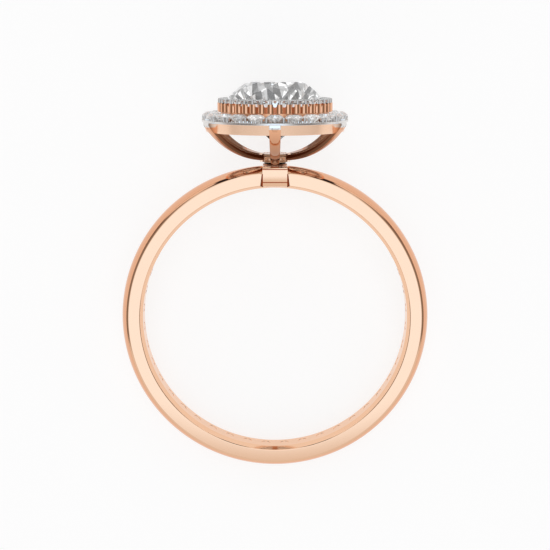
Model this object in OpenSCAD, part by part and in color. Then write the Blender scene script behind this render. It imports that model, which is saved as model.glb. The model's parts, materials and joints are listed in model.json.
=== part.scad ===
// Double-halo engagement ring, lying on its side as it comes to rest.
// Each piece is drawn in the ring's own frame: X across the ring, Y along the finger
// hole from front to back, Z from the middle of the hole up to the centre stone.
// lay_down() then tips that frame over, so the ring rests on z = 0. Lengths are in mm.

/* [Finger hole] */
// Inside diameter of the band
finger_d = 17.3; // [14:0.1:22]

/* [Band] */
// Width of the band along the finger
band_w = 1.8; // [1.6:0.05:2.4]
// Thickness of the band at its flat side faces
band_t = 1; // [0.8:0.05:1.4]
// Rise of the domed outside above the side faces
crown_rise = 0.42; // [0.25:0.01:0.6]
// Inner bevel, measured across the band's thickness
bevel_t = 0.18; // [0.1:0.01:0.3]
// Inner bevel, measured along the finger
bevel_w = 0.33; // [0.2:0.01:0.45]
// Diameter of the blind recesses inside the band
recess_d = 0.57; // [0.4:0.01:0.65]
// Depth of the blind recesses
recess_deep = 0.06; // [0.04:0.01:0.3]
// Metal left between two recesses, at least
recess_land = 0.66; // [0.4:0.01:1]

/* [Saddle] */
// Width of the saddle block across the ring
saddle_w = 1.58; // [1.4:0.01:1.9]
// How much its upper part is wider, on each side
saddle_ear = 0.07; // [0.03:0.01:0.12]
// Height of that upper part
saddle_ear_h = 0.45; // [0.3:0.01:0.6]
// How far the saddle stands proud of the band's side faces
saddle_proud = 0.05; // [0.02:0.01:0.1]
// Metal between the finger hole and the underside of the saddle
saddle_lift = 0.11; // [0.05:0.01:0.2]
// Height of the foot under the saddle's cross groove
foot_h = 0.23; // [0.15:0.01:0.3]
// Side of that cross groove's square section
groove = 0.04; // [0.02:0.01:0.06]
// Depth of the wedge-shaped notches beside the saddle
notch_deep = 0.25; // [0.1:0.01:0.4]
// Width of each notch at its top
notch_top = 0.07; // [0.04:0.01:0.1]
// Width of each notch at its foot
notch_foot = 0.2; // [0.12:0.01:0.3]

/* [Head] */
// Gap between pieces that seat on each other
fit_gap = 0.03; // [0.02:0.005:0.05]
// Height of the round base plate
base_h = 0.11; // [0.08:0.01:0.2]
// Height of the dark waist between base and hub
waist_h = 0.13; // [0.08:0.01:0.2]
// How far the waist is set in
waist_in = 0.05; // [0.03:0.01:0.1]
// Radius of the six-sided hub at its corners
hub_r = 0.96; // [0.8:0.01:1]
// Height of the hub
hub_h = 0.38; // [0.3:0.01:0.5]
// Height of the hub's lip
lip_h = 0.16; // [0.1:0.01:0.2]
// How far the lip stands out from the hub
lip_out = 0.04; // [0.02:0.01:0.08]
// Width of the tabs that run from hub to saddle, front and back
tab_w = 0.6; // [0.4:0.01:0.7]
// Thickness of those tabs, outwards from the base plate
tab_t = 0.14; // [0.08:0.01:0.2]

/* [Arms] */
// Number of arms
arm_count = 6; // [4:1:8]
// Width of an arm at the hub
arm_w_hub = 0.5; // [0.4:0.01:0.8]
// Width of an arm at its prong
arm_w = 0.75; // [0.5:0.01:0.9]
// Thickness of an arm
arm_t = 0.38; // [0.3:0.01:0.5]
// Radius at which an arm's curve starts out level
arm_root_r = 0.65; // [0.5:0.01:0.8]
// Height of that start above the underside of the hub
arm_root_lift = 0.1; // [0.05:0.01:0.15]
// Rise of an arm's curve from there to the halo
arm_rise = 1.76; // [1.5:0.01:2.5]
// How far outside the wall's lower edge that curve ends
arm_end_out = 0.1; // [0.05:0.01:0.2]
// Height of the wall's lower edge above the curve's end
wall_up = 0.11; // [0.05:0.01:0.2]
// How far the prong's heel stands out from the curve's end
heel_out = 0.38; // [0.2:0.01:0.45]
// Height of the heel above the wall's lower edge
heel_up = 0.22; // [0.15:0.01:0.3]
// How far the prong's tip stands out from the curve's end
tip_out = 0.5; // [0.46:0.01:0.6]
// Drop from the wall's upper edge to the prong's widest point
tip_drop = 0.08; // [0.04:0.01:0.15]
// Height of the prong's end above the wall's upper edge
tip_over = 0.06; // [0.03:0.01:0.1]
// How far the prong's end leans back in
tip_lean = 0.03; // [0.01:0.01:0.06]
// Distance from the halo stones' circle out to the prong's inner face
prong_in = 0.15; // [0.1:0.01:0.2]

/* [Halo] */
// Diameter of a halo stone
halo_d = 1.12; // [0.9:0.01:1.3]
// Table of a halo stone, as a diameter
halo_table_d = 0.64; // [0.5:0.01:0.75]
// Crown height of a halo stone
halo_crown = 0.17; // [0.12:0.01:0.22]
// Pavilion depth of a halo stone
halo_pavilion = 0.45; // [0.35:0.01:0.5]
// Girdle thickness of a halo stone
halo_girdle = 0.03; // [0.02:0.01:0.05]
// Gap between two halo stones, at least
halo_gap = 0.06; // [0.04:0.01:0.12]
// Height of the girdle above the rail
girdle_lift = 0.29; // [0.2:0.01:0.35]
// Height of the wall under the rail
wall_h = 0.62; // [0.45:0.01:0.8]
// Thickness of the wall at its lower edge
wall_t = 0.4; // [0.3:0.01:0.5]
// How much the wall leans out from its lower to its upper edge
wall_lean = 0.15; // [0.05:0.01:0.2]
// How far the rail stands out from the wall's upper edge
rail_out = 0.12; // [0.05:0.01:0.15]
// Height of the rail that the halo stones sit in
rail_h = 0.14; // [0.1:0.01:0.2]
// Distance from the stones' circle out to the wall's lower edge
wall_out = 0.3; // [0.25:0.01:0.35]
// Distance from the ribbed band's bore out to the shelf's inner edge
shelf_in = 0.2; // [0.1:0.01:0.3]
// Air under a halo stone in its conical seat
seat_air = 0.06; // [0.03:0.01:0.1]
// Radius of the claws outside the halo stones
claw_r = 0.16; // [0.12:0.005:0.17]
// Radius of the claws inside the halo stones
claw_in_r = 0.12; // [0.08:0.005:0.13]
// Distance from the stones' circle out to the outer claws
claw_out = 0.47; // [0.45:0.01:0.52]
// Distance from the stones' circle in to the inner claws
claw_in = 0.43; // [0.42:0.01:0.46]
// Height of the claws' tops above the stones' girdle
claw_over = 0.05; // [0.02:0.01:0.08]
// Air between the inner claws and the ribbed band's neck, at least
claw_air = 0.05; // [0.03:0.01:0.1]

/* [Upper halo] */
// Height of the ribbed band
rib_h = 0.585; // [0.4:0.005:0.8]
// Radius of a rib's rounded front
rib_r = 0.24; // [0.18:0.005:0.25]
// How far a rib stands out from the groove beside it
rib_out = 0.18; // [0.1:0.01:0.2]
// Distance from the small stones' circle out to the grooves between the ribs
groove_out = 0.117; // [0.1:0.001:0.14]
// How far the neck under the ribs is set in from those grooves
neck_in = 0.02; // [0.01:0.01:0.05]
// Wall of the ribbed band between its bore and its grooves
rib_wall = 0.77; // [0.7:0.01:0.9]
// Air between the halo stones' tables and the ribbed band
rib_gap = 0.02; // [0.01:0.005:0.1]
// Radius of the notch at the top of each groove
notch_r = 0.12; // [0.08:0.005:0.13]
// Distance from the top of the ribs down to the notch's centre
notch_drop = 0.07; // [0.03:0.01:0.15]
// How far that notch runs in past the small stones' circle
notch_in = 0.05; // [0.02:0.01:0.08]
// Diameter of a small stone
small_d = 0.43; // [0.35:0.005:0.45]
// Distance from the centre stone's edge to the small stones' circle, at least
small_out = 0.3; // [0.3:0.01:0.4]
// Gap between two small stones, at least
small_gap = 0.104; // [0.1:0.002:0.15]
// Table of a small stone, as a diameter
small_table_d = 0.25; // [0.18:0.01:0.28]
// Crown height of a small stone
small_crown = 0.06; // [0.04:0.005:0.08]
// Pavilion depth of a small stone
small_pavilion = 0.18; // [0.12:0.005:0.2]
// Girdle thickness of a small stone
small_girdle = 0.01; // [0.01:0.005:0.02]
// Radius of the beads between the small stones
bead_r = 0.105; // [0.08:0.005:0.11]
// Distance from the small stones' circle out to the beads
bead_out = 0.207; // [0.2:0.001:0.22]
// Height of the beads' tops above the small stones' girdle
bead_over = 0.07; // [0.04:0.01:0.08]
// Thickness of the rim inside the small stones, at its top
rim_t = 0.11; // [0.08:0.01:0.12]

/* [Centre stone] */
// Diameter at the girdle
centre_d = 6.16; // [5.6:0.02:6.8]
// Diameter of the table, across its corners
centre_table_d = 3.5; // [3:0.05:4]
// Crown height
centre_crown = 1.06; // [0.8:0.01:1.2]
// Pavilion depth
centre_pavilion = 2.9; // [2.6:0.01:3]
// Girdle thickness
centre_girdle = 0.08; // [0.05:0.01:0.12]
// How far the girdle sits below the small stones' girdle
centre_drop = 0.04; // [0:0.01:0.06]
// Height of the girdle above the rim that the stone sits in
rim_drop = 0.09; // [0.06:0.01:0.12]

/* [Hidden] */
$fn = 96;
// How far two shapes of one solid run into each other
overlap = 0.02;
// Where the lower halves of a brilliant end, as a share of its radius
half_share = 0.23;
// Radius at the point of a stone's conical seat
seat_point_r = 0.02;

hole_r = finger_d / 2;
edge_r = hole_r + band_t;
crown_r = edge_r + crown_rise;
dome_r = (pow(band_w / 2, 2) + pow(crown_rise, 2)) / (2 * crown_rise);
dome_mid_r = crown_r - dome_r;
flat_w = band_w - 2 * bevel_w;
recess_count = floor(PI * finger_d / (recess_d + recess_land));

ear_w = saddle_w + 2 * saddle_ear;
saddle_z = hole_r + saddle_lift;
seat_z = sqrt(pow(crown_r, 2) - pow(ear_w / 2, 2));
saddle_y = band_w / 2 + saddle_proud;
ear_z = seat_z - saddle_ear_h;

base_r = saddle_w / 2;
base_z = seat_z + fit_gap;
waist_z = base_z + base_h;
hub_z = waist_z + waist_h;
lip_z = hub_z + hub_h;

// The small stones' circle, as small as the centre stone allows
small_want_r = centre_d / 2 + small_out;
small_count = ceil(180 / asin((small_d + small_gap) / (2 * small_want_r)));
small_r = (small_d + small_gap) / (2 * sin(180 / small_count));
groove_r = small_r + groove_out;
bore_r = groove_r - rib_wall;
neck_r = groove_r - neck_in;

// The halo stones' circle, as small as the ribbed band's neck allows
halo_want_r = neck_r + claw_air + claw_in_r + claw_in;
halo_count = ceil(180 / asin((halo_d + halo_gap) / (2 * halo_want_r)));
halo_r = (halo_d + halo_gap) / (2 * sin(180 / halo_count));

wall_low_r = halo_r + wall_out;
wall_high_r = wall_low_r + wall_lean;
wall_in_r = wall_low_r - wall_t;
rail_r = wall_high_r + rail_out;
shelf_r = bore_r + shelf_in;
prong_r = halo_r + prong_in;

arm_z = hub_z + arm_root_lift;
arm_end_r = wall_low_r + arm_end_out;
arm_reach = arm_end_r - arm_root_r;
arm_bend_r = (pow(arm_reach, 2) + pow(arm_rise, 2)) / (2 * arm_rise);
arm_end_z = arm_z + arm_rise;

wall_z = arm_end_z + wall_up;
rail_z = wall_z + wall_h;
shelf_z = rail_z + rail_h;
halo_girdle_z = shelf_z + girdle_lift;
halo_table_z = halo_girdle_z + halo_girdle + halo_crown;

tip_r = arm_end_r + tip_out;
tip_z = rail_z - tip_drop;
tip_top_z = rail_z + tip_over;

neck_z = shelf_z + fit_gap;
rib_z = halo_table_z + rib_gap;
rib_top_z = rib_z + rib_h;
small_girdle_z = rib_top_z + fit_gap + small_pavilion;
centre_girdle_z = small_girdle_z - centre_drop;
table_z = centre_girdle_z + centre_girdle + centre_crown;
culet_z = centre_girdle_z - centre_pavilion;
rim_z = centre_girdle_z - rim_drop;

// The ring rests on the back edge of its band and the outer corner of its back prong
tilt = atan((tip_r - band_w / 2) / (tip_z + edge_r));
lift = edge_r * sin(tilt) + band_w / 2 * cos(tilt);
near_y = dome_mid_r * cos(tilt) + dome_r;
far_y = table_z * cos(tilt) + centre_table_d / 2 * sin(tilt);

function two(i) = str(i < 10 ? "0" : "", i);
HALO = [for (i = [1 : halo_count]) str("halo_stone_", two(i))];

rose = "#e8b894";
diamond = "#dfe6ee";

module lay_down() {
    translate([0, (near_y - far_y) / 2, lift])
        rotate([tilt - 90, 0, 0])
            children();
}

// Copies its children round the head's axis, the first one at the front
module round_head(count, shift = 0) {
    for (i = [0 : count - 1])
        rotate([0, 0, (i + shift) * 360 / count - 90])
            children();
}

// Points of a level ring with corners, for a cut stone
function corners(count, r, z, shift = 0) =
    [for (i = [0 : count - 1])
        [r * cos((i + shift) * 360 / count), r * sin((i + shift) * 360 / count), z]];

// The convex solid on a list of points
module cut(points) {
    hull()
        polyhedron(points, [[for (i = [0 : len(points) - 1]) i]]);
}

// A plain stone: an eight-cornered table, a round girdle and a point
module simple_stone(r, table_r, crown, pavilion, girdle, sides) {
    cut(concat(
        corners(8, table_r, girdle + crown),
        corners(sides, r, girdle),
        corners(sides, r, 0),
        [[0, 0, -pavilion]]));
}

// A full brilliant: stars, kites and halves above, mains and halves below
module brilliant(r, table_r, crown, pavilion, girdle) {
    star_r = (table_r * cos(22.5) + r) / 2;
    star_h = crown * (r - star_r * cos(22.5)) / (r - table_r);
    half_r = r * half_share;
    half_h = pavilion * (1 - half_r * cos(22.5) / r);
    cut(concat(
        corners(8, table_r, girdle + crown),
        corners(8, star_r, girdle + star_h, 0.5),
        corners(16, r, girdle),
        corners(16, r, 0),
        corners(8, half_r, -half_h, 0.5),
        [[0, 0, -pavilion]]));
}

module band_profile() {
    intersection() {
        polygon([
            [hole_r, -flat_w / 2], [hole_r + bevel_t, -band_w / 2], [crown_r, -band_w / 2],
            [crown_r, band_w / 2], [hole_r + bevel_t, band_w / 2], [hole_r, flat_w / 2]]);
        translate([dome_mid_r, 0])
            circle(dome_r);
    }
}

// The saddle seen from the front: a block with wider ears
module saddle_face() {
    translate([-saddle_w / 2, saddle_z])
        square([saddle_w, seat_z - saddle_z]);
    translate([-ear_w / 2, ear_z])
        square([ear_w, saddle_ear_h]);
}

// The wedge beside the saddle on the right, seen from the front
module notch_face() {
    polygon([
        [saddle_w / 2 - overlap, ear_z], [saddle_w / 2 + notch_top, ear_z],
        [saddle_w / 2 + notch_foot, hole_r - bevel_t],
        [saddle_w / 2 - overlap, hole_r - bevel_t]]);
}

// Extrudes a front view through the ring, from y = a to y = b
module through(a, b) {
    translate([0, b, 0])
        rotate([90, 0, 0])
            linear_extrude(b - a)
                children();
}

module band() {
    difference() {
        rotate([90, 0, 0])
            rotate_extrude()
                band_profile();
        for (i = [0 : recess_count - 1])
            rotate([0, (i + 0.5) * 360 / recess_count, 0])
                translate([0, 0, -hole_r - recess_deep])
                    cylinder(h = hole_r / 2, d = recess_d);
        for (side = [0, 1], face = [0, 1])
            mirror([side, 0, 0])
                mirror([0, face, 0])
                    through(band_w / 2 - notch_deep, band_w)
                        notch_face();
        translate([-ear_w / 2, -band_w, seat_z])
            cube([ear_w, 2 * band_w, crown_rise]);
    }
}

module saddle() {
    difference() {
        through(-saddle_y, saddle_y)
            saddle_face();
        for (face = [-1, 1])
            translate([-saddle_w, face * saddle_y - groove, saddle_z + foot_h])
                cube([2 * saddle_w, 2 * groove, groove]);
    }
}

module shank() {
    color(rose)
        lay_down() {
            band();
            saddle();
        }
}

// The six-sided hub on its waist and base, with a lip on top and two tabs
module hub() {
    translate([0, 0, base_z])
        cylinder(h = base_h + overlap, r = base_r);
    translate([0, 0, waist_z])
        cylinder(h = waist_h + overlap, r = base_r - waist_in);
    rotate([0, 0, 90])
        translate([0, 0, hub_z])
            cylinder(h = hub_h, r = hub_r, $fn = 6);
    rotate([0, 0, 90])
        translate([0, 0, lip_z - overlap])
            cylinder(h = lip_h, r = hub_r + lip_out, $fn = 6);
    for (side = [-90, 90])
        rotate([0, 0, side])
            translate([base_r - tab_t, -tab_w / 2, base_z])
                cube([2 * tab_t, tab_w, hub_z - base_z + hub_h / 2]);
}

// An arm from the side: a curved strip, then the heel and tip of its prong
module arm_side() {
    intersection() {
        translate([arm_root_r, arm_z + arm_bend_r])
            difference() {
                circle(arm_bend_r);
                circle(arm_bend_r - arm_t);
            }
        translate([arm_root_r / 2, 0])
            square([tip_r, wall_z + overlap]);
    }
    polygon([
        [arm_end_r, arm_end_z], [arm_end_r + heel_out, wall_z + heel_up], [tip_r, tip_z],
        [tip_r - tip_lean, tip_top_z], [prong_r, tip_top_z], [prong_r, arm_end_z]]);
}

// The same arm from above, wider towards its prong
module arm_plan() {
    polygon([
        [0, -arm_w_hub / 2], [tip_r + 1, -arm_w / 2],
        [tip_r + 1, arm_w / 2], [0, arm_w_hub / 2]]);
}

module arm() {
    intersection() {
        through(-arm_w, arm_w)
            arm_side();
        linear_extrude(2 * tip_top_z)
            arm_plan();
    }
}

// The wall, rail and shelf that carry the halo stones
module gallery() {
    difference() {
        rotate_extrude()
            polygon([
                [wall_in_r, wall_z], [wall_low_r, wall_z], [wall_high_r, rail_z],
                [rail_r, rail_z], [rail_r, shelf_z], [shelf_r, shelf_z],
                [shelf_r, rail_z], [wall_in_r, rail_z]]);
        round_head(halo_count)
            translate([halo_r, 0, halo_girdle_z - halo_pavilion - seat_air])
                cylinder(h = halo_pavilion, r1 = seat_point_r, r2 = halo_d / 2);
    }
}

module claw(r) {
    z = halo_girdle_z + claw_over - r;
    foot_z = rail_z + rail_h / 3;
    translate([0, 0, foot_z])
        cylinder(h = z - foot_z, r = r);
    translate([0, 0, z])
        sphere(r);
}

module head() {
    color(rose)
        lay_down() {
            hub();
            round_head(arm_count)
                arm();
            gallery();
            round_head(halo_count, 0.5) {
                translate([halo_r + claw_out, 0, 0])
                    claw(claw_r);
                translate([halo_r - claw_in, 0, 0])
                    claw(claw_in_r);
            }
        }
}

// The ribbed band's section, with a cone that the centre stone's pavilion sits in
module collet_profile() {
    slope = (centre_d / 2) / centre_pavilion;
    rim_r = (rim_z - culet_z) * slope + fit_gap;
    cone_z = culet_z + (bore_r - fit_gap) / slope;
    polygon([
        [bore_r, neck_z], [neck_r, neck_z], [neck_r, rib_z], [groove_r, rib_z],
        [groove_r, rib_top_z], [rim_r + rim_t, rib_top_z], [rim_r + rim_t, rim_z],
        [rim_r, rim_z], [bore_r, cone_z]]);
}

module rib() {
    translate([groove_r + rib_out - rib_r, 0, rib_z])
        cylinder(h = rib_h, r = rib_r);
    translate([small_r + bead_out, 0, rib_top_z - overlap]) {
        h = small_girdle_z + bead_over - bead_r - rib_top_z + overlap;
        cylinder(h = h, r = bead_r);
        translate([0, 0, h])
            sphere(bead_r);
    }
}

module rib_notch() {
    translate([small_r - notch_in, 0, rib_top_z - notch_drop])
        rotate([0, 90, 0])
            cylinder(h = rib_wall, r = notch_r);
    translate([small_r - notch_in, -notch_r, rib_top_z - notch_drop])
        cube([rib_wall, 2 * notch_r, rib_wall]);
}

module upper_halo() {
    color(rose)
        lay_down()
            difference() {
                union() {
                    rotate_extrude()
                        collet_profile();
                    round_head(small_count, 0.5)
                        rib();
                }
                round_head(small_count)
                    rib_notch();
            }
}

module centre_stone() {
    color(diamond)
        lay_down()
            translate([0, 0, centre_girdle_z])
                rotate([0, 0, 90])
                    brilliant(centre_d / 2, centre_table_d / 2, centre_crown,
                        centre_pavilion, centre_girdle);
}

module upper_halo_stones() {
    color(diamond)
        lay_down()
            round_head(small_count)
                translate([small_r, 0, small_girdle_z])
                    simple_stone(small_d / 2, small_table_d / 2, small_crown,
                        small_pavilion, small_girdle, 8);
}

module halo_stone(i) {
    color(diamond)
        lay_down()
            rotate([0, 0, (i - 1) * 360 / halo_count - 90])
                translate([halo_r, 0, halo_girdle_z])
                    simple_stone(halo_d / 2, halo_table_d / 2, halo_crown,
                        halo_pavilion, halo_girdle, 16);
}

shank();
head();
upper_halo();
centre_stone();
upper_halo_stones();
for (i = [1 : halo_count]) halo_stone(i);
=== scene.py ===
import json
import math

import bpy
from mathutils import Matrix, Vector


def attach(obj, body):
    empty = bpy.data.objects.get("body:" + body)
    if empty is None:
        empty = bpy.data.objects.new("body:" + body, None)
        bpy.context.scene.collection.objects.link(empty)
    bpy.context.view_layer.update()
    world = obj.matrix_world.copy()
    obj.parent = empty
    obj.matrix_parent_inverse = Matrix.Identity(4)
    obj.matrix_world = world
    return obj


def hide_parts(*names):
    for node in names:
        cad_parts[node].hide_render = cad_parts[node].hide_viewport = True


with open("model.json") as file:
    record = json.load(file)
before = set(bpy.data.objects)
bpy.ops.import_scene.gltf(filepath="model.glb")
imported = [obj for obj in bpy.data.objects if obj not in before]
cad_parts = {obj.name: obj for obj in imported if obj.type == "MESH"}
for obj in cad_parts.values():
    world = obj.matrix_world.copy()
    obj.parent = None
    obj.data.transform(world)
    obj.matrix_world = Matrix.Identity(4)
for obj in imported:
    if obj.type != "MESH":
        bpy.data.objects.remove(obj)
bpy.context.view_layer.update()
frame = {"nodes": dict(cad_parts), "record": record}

# Everything is modelled in millimetres in the ring's own frame: x goes across the ring,
# y along the finger hole away from the viewer, z from the hole up to the centre stone.
hole = next(m for m in frame["record"]["mounts"] if m["name"] == "finger_hole")
holeR = hole["dims"]["r_mm"]
inward = -Vector(hole["axis"]).normalized()
upward = Vector((1, 0, 0)).cross(inward)
ringTurn = Matrix(((1, 0, 0), inward, upward)).transposed().to_4x4()
ringFrame = Matrix.Translation(hole["pos_m"]) @ ringTurn @ Matrix.Scale(0.001, 4)
print("frame loaded")


def ringBox(node):
    # lowest and highest corner of a CAD node in the ring's own frame
    back = ringFrame.inverted()
    points = [back @ v.co for v in frame["nodes"][node].data.vertices]
    low, high = ([pick(p[k] for p in points) for k in range(3)] for pick in (min, max))
    return Vector(low), Vector(high)


shankLow, shankHigh = ringBox("shank")
headLow = ringBox("head")[0]
collarLow, collarHigh = ringBox("upper_halo")
centreLow, centreHigh = ringBox("centre_stone")
haloLow, haloHigh = ringBox("halo_stone_01")
smallLow, smallHigh = ringBox("upper_halo_stones")


# Modelling helpers

# lengths in millimetres that count as nothing, and shares of a normal
tolerance = {
    "doubles": 0.0005,
    "slivers": 0.0001,
    "corner": 0.005,
    "near": 0.01,
    "facing": 0.9,  # a face points that way
    "leaning": 0.1,  # a face leans that way
}


def deselectAll():
    if bpy.context.object and bpy.context.object.mode != "OBJECT":
        bpy.ops.object.mode_set(mode="OBJECT")
    bpy.ops.object.select_all(action="DESELECT")


def activate(piece):
    deselectAll()
    piece.select_set(True)
    bpy.context.view_layer.objects.active = piece


def named(name):
    piece = bpy.context.object
    piece.name = piece.data.name = name
    return piece


def editMode(piece, kind="FACE"):
    activate(piece)
    bpy.ops.object.mode_set(mode="EDIT")
    bpy.ops.mesh.select_mode(type=kind)
    bpy.ops.mesh.select_all(action="SELECT")


def selectFaces(piece, wanted):
    # selects the faces whose centre and normal satisfy wanted(centre, normal)
    editMode(piece)
    bpy.ops.mesh.select_all(action="DESELECT")
    bpy.ops.object.mode_set(mode="OBJECT")
    for face in piece.data.polygons:
        face.select = wanted(face.center, face.normal)
    bpy.ops.object.mode_set(mode="EDIT")


def selectPoints(piece, wanted):
    editMode(piece, "VERT")
    bpy.ops.mesh.select_all(action="DESELECT")
    bpy.ops.object.mode_set(mode="OBJECT")
    for point in piece.data.vertices:
        point.select = wanted(point.co)
    bpy.ops.object.mode_set(mode="EDIT")


def closeUp(piece):
    # merges doubles, turns the faces outwards and leaves edit mode
    bpy.ops.mesh.select_all(action="SELECT")
    bpy.ops.mesh.remove_doubles(threshold=tolerance["doubles"])
    bpy.ops.mesh.normals_make_consistent(inside=False)
    bpy.ops.object.mode_set(mode="OBJECT")
    return piece


def cleaned(piece):
    # merges the doubles that a modifier may leave
    editMode(piece)
    bpy.ops.mesh.remove_doubles(threshold=tolerance["slivers"])
    bpy.ops.object.mode_set(mode="OBJECT")
    return piece


def drawOutline(name, points):
    # extrudes one point along the outline and fills it
    deselectAll()
    bpy.ops.mesh.primitive_plane_add(size=1, location=(0, 0, 0))
    piece = named(name)
    editMode(piece, "VERT")
    bpy.ops.mesh.merge(type="CENTER")
    bpy.ops.transform.translate(value=points[0])
    for here, there in zip(points, points[1:]):
        step = Vector(there) - Vector(here)
        bpy.ops.mesh.extrude_vertices_move(TRANSFORM_OT_translate={"value": step})
    bpy.ops.mesh.select_all(action="SELECT")
    bpy.ops.mesh.edge_face_add()
    return piece


def pulledOutline(name, points, pull):
    piece = drawOutline(name, points)
    bpy.ops.mesh.extrude_region_move(TRANSFORM_OT_translate={"value": pull})
    return closeUp(piece)


def spunOutline(name, points, axis, steps, rounds=(), roundSteps=4):
    # spins a closed outline once round the axis; rounds pairs corners with their rounding
    piece = drawOutline(name, points)
    for roundAt, roundBy in rounds:
        corners = [Vector(p) for p in roundAt]
        near = tolerance["corner"]
        selectPoints(piece, lambda p: any((p - c).length < near for c in corners))
        bpy.ops.mesh.bevel(offset=roundBy, segments=roundSteps, affect="VERTICES")
        bpy.ops.mesh.select_all(action="SELECT")
    bpy.ops.mesh.select_mode(type="FACE")
    bpy.ops.mesh.select_all(action="SELECT")
    bpy.ops.mesh.delete(type="ONLY_FACE")
    bpy.ops.mesh.select_mode(type="EDGE")
    bpy.ops.mesh.select_all(action="SELECT")
    bpy.ops.mesh.spin(steps=steps, angle=2 * math.pi, center=(0, 0, 0), axis=axis)
    return closeUp(piece)


def arcPoints(centre, radius, start, end, count):
    # (across, up) points on an arc, with the angles in degrees
    angles = [math.radians(start + (end - start) * i / count) for i in range(count + 1)]
    return [(centre[0] + radius * math.cos(a), centre[1] + radius * math.sin(a))
            for a in angles]


def addBlock(name, low, high):
    deselectAll()
    bpy.ops.mesh.primitive_cube_add(size=1)
    piece = named(name)
    piece.scale = Vector(high) - Vector(low)
    piece.location = (Vector(high) + Vector(low)) / 2
    bpy.ops.object.transform_apply(location=True, rotation=True, scale=True)
    return piece


def addTube(name, sides, radius, low, high):
    deselectAll()
    bpy.ops.mesh.primitive_cylinder_add(
        vertices=sides, radius=radius, depth=high - low, location=(0, 0, (low + high) / 2))
    bpy.ops.object.transform_apply(location=True, rotation=True, scale=True)
    return named(name)


def bisected(piece, cuts):
    # each cut is a point and the normal of the side that goes
    editMode(piece)
    for point, normal in cuts:
        bpy.ops.mesh.select_all(action="SELECT")
        bpy.ops.mesh.bisect(
            plane_co=point, plane_no=normal, use_fill=True, clear_outer=True,
            threshold=tolerance["slivers"])
    return closeUp(piece)


def bevelled(piece, width, segments=3, angle=30):
    activate(piece)
    bevel = piece.modifiers.new("bevel", "BEVEL")
    bevel.width = width
    bevel.segments = segments
    bevel.limit_method = "ANGLE"
    bevel.angle_limit = math.radians(angle)
    bpy.ops.object.modifier_apply(modifier=bevel.name)
    return cleaned(piece)


def combined(piece, other, operation):
    activate(piece)
    tool = piece.modifiers.new("boolean", "BOOLEAN")
    tool.operation = operation
    tool.solver = "EXACT"
    tool.object = other
    bpy.ops.object.modifier_apply(modifier=tool.name)
    bpy.data.objects.remove(other)
    return piece


def movedCopy(piece, name, move):
    copy = bpy.data.objects.new(name, piece.data.copy())
    copy.data.name = name
    bpy.context.collection.objects.link(copy)
    copy.matrix_world = move
    activate(copy)
    bpy.ops.object.transform_apply(location=True, rotation=True, scale=True)
    return copy


def joined(pieces, name):
    deselectAll()
    for piece in pieces:
        piece.select_set(True)
    bpy.context.view_layer.objects.active = pieces[0]
    if len(pieces) > 1:
        bpy.ops.object.join()
    return named(name)


def roundHead(piece, count, shift=0.0):
    # repeats a piece that points along +x round the head, with the first at the front
    turns = [math.radians((i + shift) * 360 / count - 90) for i in range(count)]
    copies = [movedCopy(piece, piece.name, Matrix.Rotation(turn, 4, "Z")) for turn in turns]
    name = piece.name
    bpy.data.objects.remove(piece)
    return joined(copies, name)


def settle(piece, materials, nodes, smooth=30):
    # shades a finished piece, lays it down with the ring and hangs it on the frame
    activate(piece)
    if smooth:
        bpy.ops.object.shade_smooth_by_angle(angle=math.radians(smooth))
        flats = piece.modifiers.new("flats", "WEIGHTED_NORMAL")
        flats.keep_sharp = True
        bpy.ops.object.modifier_apply(modifier=flats.name)
    else:
        bpy.ops.object.shade_flat()
    piece.matrix_world = ringFrame
    bpy.ops.object.transform_apply(location=True, rotation=True, scale=True)
    piece.data.materials.clear()
    for material in materials:
        piece.data.materials.append(material)
    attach(piece, "root")
    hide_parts(*nodes)
    print(piece.name, len(piece.data.polygons), "faces")
    return piece


def paintFaces(piece, slot, wanted):
    # gives the faces that satisfy wanted(centre, normal) the material in that slot
    back, turnBack = ringFrame.inverted(), ringTurn.to_3x3().inverted()
    for face in piece.data.polygons:
        if wanted(back @ face.center, turnBack @ face.normal):
            face.material_index = slot


def isBelow(centre, normal):
    # true for a stone's pavilion facets
    return normal.z < -tolerance["leaning"]


# Materials

def newShader(name):
    material = bpy.data.materials.new(name)
    material.use_nodes = True
    nodes = material.node_tree.nodes
    return material, nodes, material.node_tree.links, nodes["Principled BSDF"]


metalLook = {
    "gold": (0.91, 0.57, 0.375, 1),
    # a darker copy of the gold, painted shade on the parts that look darker
    "deepGold": (0.82, 0.43, 0.255, 1),
    # a paler copy of the gold, painted light
    "paleGold": (0.97, 0.66, 0.475, 1),
    # a dark brown, painted shade
    "shade": (0.36, 0.16, 0.085, 1),
    # a darker brown, painted shade in the saddle's grooves and notches
    "line": (0.68, 0.37, 0.22, 1),
    # near black, a painted shadow for the gap at the head's waist
    "seam": (0.03, 0.018, 0.012, 1),
    "white": (0.77, 0.745, 0.725, 1),
    "deeper": 0.97,  # tone of the darker clouds
    "gloss": (0.03, 0.09),  # least and most roughness
    "satin": (0.26, 0.28),
    "grain": 9000,
    "cloud": 600,
    "scratch": 0.004,
    "scratchDeep": 0.000005,  # metres
    "plateEdge": 0.00001,  # metres, half of the plating's soft edge
}


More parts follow.
